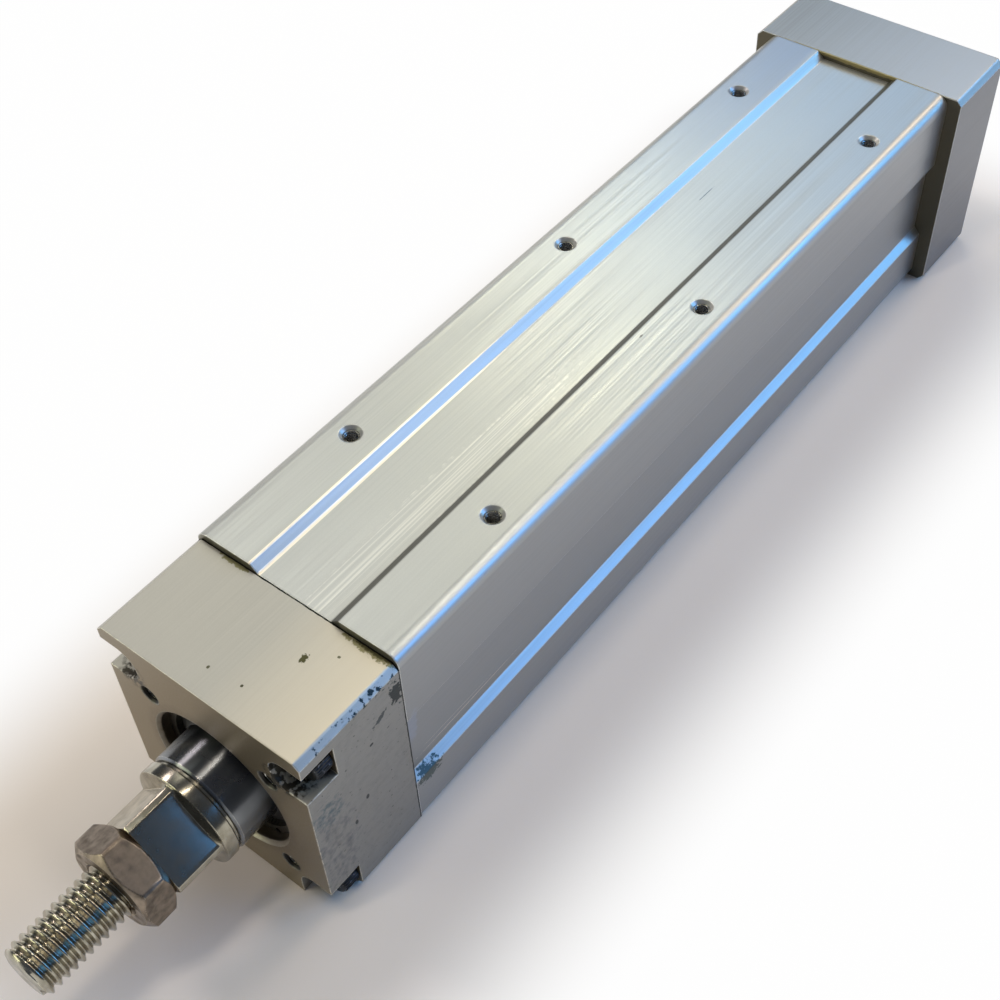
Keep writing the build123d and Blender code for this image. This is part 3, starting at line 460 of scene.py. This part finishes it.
def cap_screw(name, grip):
    """A screw with its seat at 0, its head towards +X and its shank towards -X"""
    rings = [(-grip, SHANK_R - 0.4), (-grip + 0.4, SHANK_R), (-0.02, SHANK_R), (-0.02, SHANK_R + 0.1),
             (0.0, HEAD_R - 0.25), (0.12, knurled(HEAD_R - 0.05)), (0.3, knurled(HEAD_R)),
             (HEAD - 0.55, knurled(HEAD_R)), (HEAD - 0.35, knurled(HEAD_R - 0.03)), (HEAD - 0.3, HEAD_R - 0.12),
             (HEAD - 0.1, HEAD_R - 0.22), (HEAD, HEAD_R - 0.42), (HEAD, KEY / 2 + 0.28),
             (HEAD - 0.14, hexagon(KEY)), (HEAD - 1.5, hexagon(KEY)), (HEAD - 1.9, 0.3)]
    return skin(name, rings, around=216)


def screw_spots(station):
    """The four corner places of the screws at a station"""
    return [(station, y, z) for y in (-14.5, 14.5) for z in (-14.6, 14.6)]


seat_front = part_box("front_housing_screws")[1].x / MM - HEAD
seat_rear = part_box("rear_cover_screws")[0].x / MM + HEAD
front_screws = set_at_places("front_cap_screws", cap_screw("front_screw", FRONT_GRIP), screw_spots(seat_front),
                             (0, 0, 0), oxide_finish)
rear_screws = set_at_places("rear_cap_screws", cap_screw("rear_screw", REAR_GRIP), screw_spots(seat_rear),
                            (0, 0, math.pi), oxide_finish)
for piece, node in ((front_screws, "front_housing_screws"), (rear_screws, "rear_cover_screws")):
    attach(piece, "housing")
    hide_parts(node)


# Inside the block's mouth a phosphated snap ring holds a rubber wiper, and a bronze bush behind it guides the rod.
# The o-rings, bumpers and coupling spider are rubber too: nitrile is black, urethane amber.
def mottled(name, low, high, metallic, roughness, size, **sockets):
    """A finish whose colour drifts between two tones over spots of size mm, with a faint bump"""
    made, tree, shader = start_finish(name, metallic, roughness, **sockets)
    drift = spots(tree, size, 0.3, 0.7, 4.0)
    tree.links.new(layered(tree, low, (drift, high)), shader.inputs["Base Color"])
    relief = add(tree, "ShaderNodeBump", {"Height": drift, "Strength": 0.25, "Distance": 0.01 * MM})
    tree.links.new(relief.outputs[0], shader.inputs["Normal"])
    return made


nitrile = mottled("moulded_nitrile_rubber", "#141415", "#242423", 0.0, 0.55, 0.5)
urethane = mottled("cast_urethane", "#A84E12", "#C4661C", 0.0, 0.35, 1.6)
bronze = mottled("oil_filled_sintered_bronze", "#7E5A2C", "#A97F45", 1.0, 0.48, 0.2)
phosphated = mottled("phosphated_spring_steel", "#3A3A39", "#6A6960", 0.9, 0.35, 0.4)
give(nitrile, "wiper_seal", "front_o_ring", "rear_o_ring")
give(urethane, "front_bumper", "rear_bumper", "coupling_spider")
give(bronze, "rod_bushing")
give(phosphated, "seal_retaining_ring", "support_snap_ring")


# The rod is a steel tube, ground round and hard chromed. Hair-fine grinding marks run around it, so it is a mirror
# across but draws every reflection far out along it.
def turned(name, colour, smear, edge, roughness, drawn_out, smear_size):
    """Bright turned or ground metal. drawn_out is how far the marks around it pull a reflection lengthwise"""
    made, tree, shader = start_finish(name, 1.0, roughness, Anisotropic=drawn_out)
    marks = add(tree, "ShaderNodeTexNoise",
                {"Vector": object_mm(tree, (1, 0.02, 0.02)), "Scale": 8.0, "Detail": 3.0})
    wear, soft = worn_edge(tree, 0.12 * MM)
    cloudy = spots(tree, smear_size, 0.35, 0.7, 6.0)
    tree.links.new(layered(tree, colour, (cloudy, smear), (wear, edge)), shader.inputs["Base Color"])
    hazy = add(tree, "ShaderNodeMapRange", {"Value": cloudy, 3: roughness * 0.8, 4: roughness * 1.35})
    tree.links.new(hazy.outputs[0], shader.inputs["Roughness"])
    cut = add(tree, "ShaderNodeBump", {"Height": marks.outputs[0], "Strength": 0.08, "Distance": 0.006 * MM,
                                       "Normal": soft})
    tree.links.new(cut.outputs[0], shader.inputs["Normal"])
    lengthwise = add(tree, "ShaderNodeCombineXYZ", {"X": 1.0})
    tree.links.new(lengthwise.outputs[0], shader.inputs["Tangent"])
    return made


give(turned("ground_hard_chrome", "#8F9296", "#7E8184", "#E8E4D8", 0.28, 0.97, 6.0), "rod_tube")

# The rod end is turned from one bar and nickel plated: a spigot in the tube, a groove, a collar, four milled
# wrench flats and an M8 stud with a rolled thread and a rounded tip. The cutter leaves the flats on a short curve
# where they meet the collar.
tube_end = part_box("rod_tube")[1].x / MM
end_low, end_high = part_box("rod_end")
nut_low, nut_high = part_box("lock_nut")
nut_face = nut_low.x / MM
tip = end_high.x / MM
ROD_R = 8.0
GROOVE_R = 7.4
GROOVE = 0.5
COLLAR = 2.15
FLATS = 11.0
FLAT_CORNER = 7.25
FLAT_TURN = math.radians(48)
RUN_OUT = 0.4
RUN_OUT_DROP = 0.55
SPIGOT_R = 5.1
STUD_R = 4.0
STUD_ROOT = 3.35
TIP_BEVEL = 1.2
PITCH = 1.25
collar_rear = tube_end + GROOVE
collar_front = collar_rear + COLLAR


def four_flats(across, corner):
    """The radius of a round bar with four flats milled on it"""
    def radius(angle):
        off = (angle - FLAT_TURN + math.pi / 4) % (math.pi / 2) - math.pi / 4
        return min(across / 2 / math.cos(off), corner)
    return radius


def run_out(share):
    """Between the round collar and the flats, where the cutter leaves the bar on a curve"""
    flats = four_flats(FLATS, FLAT_CORNER)
    return lambda angle: flats(angle) + (ROD_R - RUN_OUT_DROP - flats(angle)) * share


end_rings = [(end_low.x / MM, SPIGOT_R - 0.4), (end_low.x / MM + 0.4, SPIGOT_R), (tube_end, SPIGOT_R),
             (tube_end, GROOVE_R - 0.05), (tube_end + 0.05, GROOVE_R), (collar_rear - 0.05, GROOVE_R),
             (collar_rear, GROOVE_R + 0.05), (collar_rear, ROD_R - 0.28), (collar_rear + 0.08, ROD_R - 0.1),
             (collar_rear + 0.22, ROD_R), (collar_front - 0.3, ROD_R), (collar_front - 0.12, ROD_R - 0.06),
             (collar_front - 0.03, ROD_R - 0.2), (collar_front, ROD_R - 0.4), (collar_front, run_out(1.0))]
curve = [math.sin(step * math.pi / 12) for step in range(1, 7)]
end_rings += [(collar_front + RUN_OUT * share, run_out(1 - share ** 0.8)) for share in curve]
end_rings += [(nut_face - 0.22, four_flats(FLATS, FLAT_CORNER)),
              (nut_face - 0.07, four_flats(FLATS - 0.12, FLAT_CORNER - 0.12)),
              (nut_face, four_flats(FLATS - 0.5, FLAT_CORNER - 0.45))]
end_mesh = skin("rod_end_bar", end_rings, around=384)


def rounded_tip(station, size):
    """The stud's radius, held inside its rounded point"""
    past = min(max(station - (tip - TIP_BEVEL), 0.0) / TIP_BEVEL, 1.0)
    return min(size, STUD_R - TIP_BEVEL * (1 - math.sqrt(1 - past * past)))


stud = bmesh.new()
stud_rows = thread_rows(stud, nut_face - 0.2, tip, PITCH, STUD_R, STUD_ROOT, rounded_tip, 120)
cap(stud, nut_face - 0.2, stud_rows[0])
cap(stud, tip, stud_rows[-1])
stud_mesh = close_mesh("stud", stud, 50)
both = bmesh.new()
both.from_mesh(end_mesh)
both.from_mesh(stud_mesh)
end_whole = bpy.data.meshes.new("rod_end_turned")
both.to_mesh(end_whole)
both.free()
nickel = turned("nickel_plated_steel", "#B3AE9F", "#8C8676", "#F1ECD8", 0.21, 0.8, 2.0)
rod_end = show("rod_end_turned", end_whole, nickel)
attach(rod_end, "rod")
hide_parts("rod_end")

# The lock nut is a thin M8 hexagon, 13 mm across its flats. Both faces are turned to a chamfer, which leaves
# curved bright lines where the cone cuts the six flats.
NUT_TURN = math.radians(61.5)
NUT_FLATS = 13.0
NUT_SLOPE = math.tan(math.radians(38))
NUT_BORE = 3.95
nut_end = nut_high.x / MM


def nut_outline(drop):
    """The hexagon cut by the chamfer's cone, drop millimetres in from the face"""
    flat = hexagon(NUT_FLATS, NUT_FLATS / math.sqrt(3) - 0.06)
    return lambda angle: min(flat(angle - NUT_TURN), NUT_FLATS / 2 - 0.3 + drop / NUT_SLOPE)


depths = [0.0, 0.06, 0.12, 0.2, 0.28, 0.36, 0.44, 0.54, 0.64, 0.74, 0.84, 0.96]
nut_rings = [(nut_face + d, nut_outline(d)) for d in depths]
nut_rings += [(nut_end - d, nut_outline(d)) for d in reversed(depths)]
nut_rings += [(nut_end, NUT_BORE + 0.4), (nut_end - 0.4, NUT_BORE), (nut_face + 0.4, NUT_BORE),
              (nut_face, NUT_BORE + 0.4)]
nut_mesh = skin("lock_nut_hexagon", nut_rings, loop=True, around=360)
nut_finish = turned("plated_nut_steel", "#9A8C7C", "#685E52", "#EFE8D2", 0.4, 0.0, 1.4)
lock_nut = show("lock_nut_hexagon", nut_mesh, nut_finish)
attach(lock_nut, "rod")
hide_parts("lock_nut")


# The rear cover is milled from aluminium plate and anodised grey, a little wider than the body it closes. Painted
# shade darkens its front face where it meets the body and its sides, a painted highlight lightens its top plate
# towards +Y, and oil lies along the top of that joint.
cover_low, cover_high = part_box("rear_cover")
cover_finish, tree, shader, base = anodised("milled_anodised_cover", "#A9A79F", "#9B9992", "#E3E6E6", "#625D4E",
                                            "#7F7D7C", 0.42, 0.02)
lip = cover_high.x / MM - 2.9
painted_sheen_on_plate = patch(tree, (cover_low.x / MM + 7.5, 0, cover_high.z / MM), (30, 30, 0.3), rag=0.05)
cover_colour = layered(
    tree, base,
    # Painted highlight: the top plate lightens towards +Y.
    ((painted_sheen_on_plate, fade(tree, "Y", -16, 20)), "#CBCAC4"),
    (patch(tree, (lip, 0, top_z), (0.35, 15, 0.6), rag=0.4), "#A89A6E"))
tree.links.new(cover_colour, shader.inputs["Base Color"])
give(cover_finish, "rear_cover")

# The cable's inlet is a nickelled brass shell with a fine thread for the plug's ring, a black moulded insert
# and gold plated pins.
shell_low, shell_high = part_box("inlet_shell")
mouth = shell_low.x / MM
seat = cover_low.x / MM
SOCKET_R = 5.02
FLANGE_R = 8.0
FLANGE = 2.0
PLUG_THREAD = 5.5
PLUG_PITCH = 1.0
PLUG_CREST = 6.0
PLUG_ROOT = 5.6
PLUG_AROUND = 72
thread_end = mouth + PLUG_THREAD
inlet = bmesh.new()
inlet_rows = thread_rows(inlet, mouth, thread_end, PLUG_PITCH, PLUG_CREST, PLUG_ROOT,
                         lambda station, size: min(size, PLUG_ROOT + (station - mouth)), PLUG_AROUND)
lined(inlet, inlet_rows, (mouth, thread_end), SOCKET_R, PLUG_AROUND)
flange_rings = [(thread_end, SOCKET_R), (thread_end, PLUG_ROOT + 0.1), (seat - FLANGE, PLUG_ROOT + 0.1),
                (seat - FLANGE, knurled(FLANGE_R - 0.3)), (seat - FLANGE + 0.3, knurled(FLANGE_R)),
                (seat - 0.3, knurled(FLANGE_R)), (seat, FLANGE_R - 0.3), (seat, PLUG_CREST),
                (shell_high.x / MM, PLUG_CREST), (shell_high.x / MM, SOCKET_R)]
both = bmesh.new()
both.from_mesh(close_mesh("inlet_thread", inlet))
both.from_mesh(skin("inlet_flange", flange_rings, loop=True, around=216))
inlet_mesh = bpy.data.meshes.new("inlet_shell_turned")
both.to_mesh(inlet_mesh)
both.free()
brass_plate = turned("nickelled_brass", "#B5AF9F", "#98917F", "#E8E2CF", 0.2, 0.3, 1.3)
inlet_shell = show("inlet_shell_turned", inlet_mesh, brass_plate)
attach(inlet_shell, "housing")
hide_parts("inlet_shell")
give(brass_plate, "inlet_nut")
give(mottled("black_moulded_insert", "#101011", "#1B1B1C", 0.0, 0.45, 0.3), "inlet_insert")
give(mottled("gold_plated_pin", "#C99A45", "#E0B865", 1.0, 0.2, 0.25), "inlet_pins")


# The drive behind the rod: carrier, ball nut, ball screw, bearings and shaft coupling. Turned aluminium is bright
# with fine lathe rings, and bearing steel is ground nearly to a mirror.
turned_aluminium = turned("turned_aluminium", "#BFC0BE", "#A2A3A1", "#E6E7E5", 0.3, 0.4, 1.2)
bearing_steel = turned("ground_bearing_steel", "#A9AAAC", "#8E8F92", "#D8D8DA", 0.14, 0.4, 0.8)
acetal = mottled("machined_acetal", "#D9D8CE", "#C8C7BC", 0.0, 0.4, 1.0, Subsurface_Weight=0.08)
give(turned_aluminium, "nut_carrier", "support_housing", "coupling_hub_front", "coupling_hub_rear",
     "coupling_sleeve", "motor_front_bell", "motor_rear_bell")
give(bearing_steel, "ball_screw", "ball_nut", "ball_nut_balls", "bearing_balls", "bearing_inner_rings",
     "bearing_outer_rings", "bearing_retainer", "bearing_locknut", "motor_bearings", "motor_shaft")
give(acetal, "guide_pads", "screw_tip_guide", "bearing_cages")
give(oxide_finish, "ball_nut_screws", "coupling_set_screws", "encoder_board_screws")

# The motor: a zinc plated steel case, stacked core sheets, enamelled copper and nickel coated magnets. Behind it
# an etched steel disc turns in front of a green encoder board.
give(mottled("zinc_plated_case", "#8C8E8F", "#6E7072", 0.9, 0.35, 2.0), "motor_case")
give(mottled("stacked_core_sheet", "#5B5B5C", "#464647", 0.8, 0.5, 0.3), "motor_stator", "motor_rotor")
give(mottled("enamelled_copper", "#A35A2C", "#7E3F1C", 0.8, 0.3, 0.4), "motor_windings", "motor_leads")
give(mottled("nickel_coated_magnet", "#7C7D80", "#66676A", 0.9, 0.28, 0.7), "rotor_magnets")
give(mottled("etched_steel_disc", "#8F9092", "#7A7B7D", 1.0, 0.3, 1.0), "encoder_disc")
give(mottled("green_solder_mask", "#0F4A22", "#15602D", 0.0, 0.25, 1.0), "encoder_board")


# The floor is a plain pale sheet under the body. From about three centimetres out it reads as white to the camera,
# and closer in the body's shadow stays.
floor_z = cad_box[0][2]
FLOOR_REACH = 3.0
SHADOW_FROM = 0.007
SHADOW_TO = 0.034
floor_mesh = bpy.data.meshes.new("floor")
floor_mesh.from_pydata([(x * FLOOR_REACH, y * FLOOR_REACH, floor_z - 0.02 * MM)
                        for x, y in ((-1, -1), (1, -1), (1, 1), (-1, 1))], [], [(0, 1, 2, 3)])
floor_finish, tree, shader = start_finish("pale_floor", 0.0, 0.8)
tree.links.new(layered(tree, "#FAF1E6", (spots(tree, 50.0, 0.3, 0.7), "#F6EDE2")), shader.inputs["Base Color"])
middle = [(cad_box[0][i] + cad_box[1][i]) / 2 for i in (0, 1)]
out_of = add(tree, "ShaderNodeMapping", {"Vector": add(tree, "ShaderNodeTexCoord").outputs["Object"],
                                         "Location": (-middle[0], -middle[1], -floor_z)})
apart = add(tree, "ShaderNodeVectorMath", {0: out_of.outputs[0]}, operation="ABSOLUTE")
beyond = add(tree, "ShaderNodeVectorMath", {0: apart.outputs[0], 1: (0.1, 0.02, 0.0)}, operation="SUBTRACT")
clear = add(tree, "ShaderNodeVectorMath", {0: beyond.outputs[0], 1: (0, 0, 0)}, operation="MAXIMUM")
away = add(tree, "ShaderNodeVectorMath", {0: clear.outputs[0]}, operation="LENGTH")
lift = add(tree, "ShaderNodeMapRange", {"Value": away.outputs["Value"], 1: SHADOW_FROM, 2: SHADOW_TO, 4: 0.98},
           interpolation_type="SMOOTHSTEP")
rays = add(tree, "ShaderNodeLightPath").outputs
seen = add(tree, "ShaderNodeMath", {0: rays["Is Camera Ray"], 1: rays["Is Glossy Ray"]}, operation="MAXIMUM")
seen = add(tree, "ShaderNodeMath", {0: seen.outputs[0], 1: rays["Is Transmission Ray"]}, operation="MAXIMUM")
share = add(tree, "ShaderNodeMath", {0: seen.outputs[0], 1: lift.outputs[0]}, operation="MULTIPLY")
white = add(tree, "ShaderNodeEmission", {"Color": (1, 1, 1, 1), "Strength": 1.0})
mixed = add(tree, "ShaderNodeMixShader", {0: share.outputs[0], 1: shader.outputs[0], 2: white.outputs[0]})
tree.links.new(mixed.outputs[0], tree.nodes["Material Output"].inputs["Surface"])
floor = show("floor", floor_mesh, floor_finish)

# The camera stands where the photographer's did: above, ahead and to the right of the rod.
CAMERA_AT = Vector((53.2867, 96.103, 170.608))
CAMERA_RIGHT = Vector((-0.615586, 0.787177, -0.037501))
CAMERA_AHEAD = Vector((-0.499799, -0.426759, -0.753709))
camera_up = CAMERA_RIGHT.cross(CAMERA_AHEAD)
lens = bpy.data.cameras.new("camera")
lens.lens = 53.911
lens.sensor_width = 36
lens.clip_start = 0.01
camera = bpy.data.objects.new("camera", lens)
stance = Matrix((CAMERA_RIGHT, camera_up, -CAMERA_AHEAD)).transposed().to_4x4()
camera.matrix_world = Matrix.Translation(CAMERA_AT * MM) @ stance
bpy.context.scene.collection.objects.link(camera)
bpy.context.scene.camera = camera

# Plain soft studio light. Cool windows behind on the right draw the pale blue lines on every edge that leans
# that way, a skylight whitens the upper half of the rounded edge, a long warm strip overhead draws the sharp line
# on the rod, and broad pale panels fill the rest.
AIM = Vector((-70, 0, 10)) * MM


def lamp(name, direction, distance, width, height, colour, level):
    """A soft lamp that faces the body. level is its own brightness, where 1 shows as white"""
    light = bpy.data.lights.new(name, "AREA")
    light.shape = "RECTANGLE"
    light.size = width
    light.size_y = height
    light.color = tone(colour)[:3]
    light.energy = level * math.pi * width * height
    made = bpy.data.objects.new(name, light)
    way = Vector(direction).normalized()
    made.location = AIM + way * distance
    made.rotation_euler = way.to_track_quat("Z", "Y").to_euler()
    bpy.context.scene.collection.objects.link(made)


lamp("window", (-0.578, 0.689, 0.35), 1.2, 0.8, 0.58, "#5EAAFF", 3.5)
lamp("window_rear", (-0.76, 0.52, 0.38), 1.3, 0.4, 0.4, "#5ED0FF", 1.9)
lamp("window_front", (-0.36, 0.82, 0.44), 1.3, 0.3, 0.3, "#4AA0FF", 1.8)
lamp("window_top", (-0.48, 0.50, 0.72), 1.2, 0.5, 0.3, "#FFF2E4", 3.1)
lamp("skylight", (-0.42, 0.13, 0.90), 1.3, 0.6, 0.12, "#FFFBF0", 9.0)
lamp("ceiling", (0.16, -0.066, 0.985), 1.6, 0.07, 0.6, "#FFF4E4", 30.0)
lamp("sheen", (-0.60, -0.42, 0.68), 1.5, 0.3, 0.22, "#FFF6D4", 7.2)
lamp("key", (0.1, -0.75, 0.62), 1.6, 0.3, 0.3, "#FFF2F2", 15.6)
lamp("left_panel", (-0.5, -0.8, 0.3), 1.6, 0.8, 0.5, "#FFF6F2", 1.2)
lamp("front_panel", (-0.29, -0.52, 0.80), 1.4, 0.5, 0.5, "#FFFEF5", 2.0)
lamp("rear_panel", (-0.75, -0.36, 0.55), 1.4, 0.6, 0.5, "#8FC5FF", 1.6)
lamp("rear_up", (-0.75, 0.14, 0.64), 1.3, 0.4, 0.35, "#FFE8D0", 4.4)
lamp("low_front", (0.75, -0.55, 0.2), 1.6, 0.7, 0.4, "#FDFFDA", 5.3)
room = bpy.data.worlds.new("room")
room.use_nodes = True
room.node_tree.nodes["Background"].inputs["Color"].default_value = tone("#D8E5FF")
room.node_tree.nodes["Background"].inputs["Strength"].default_value = 0.125
bpy.context.scene.world = room
bpy.context.scene.view_settings.view_transform = "Standard"
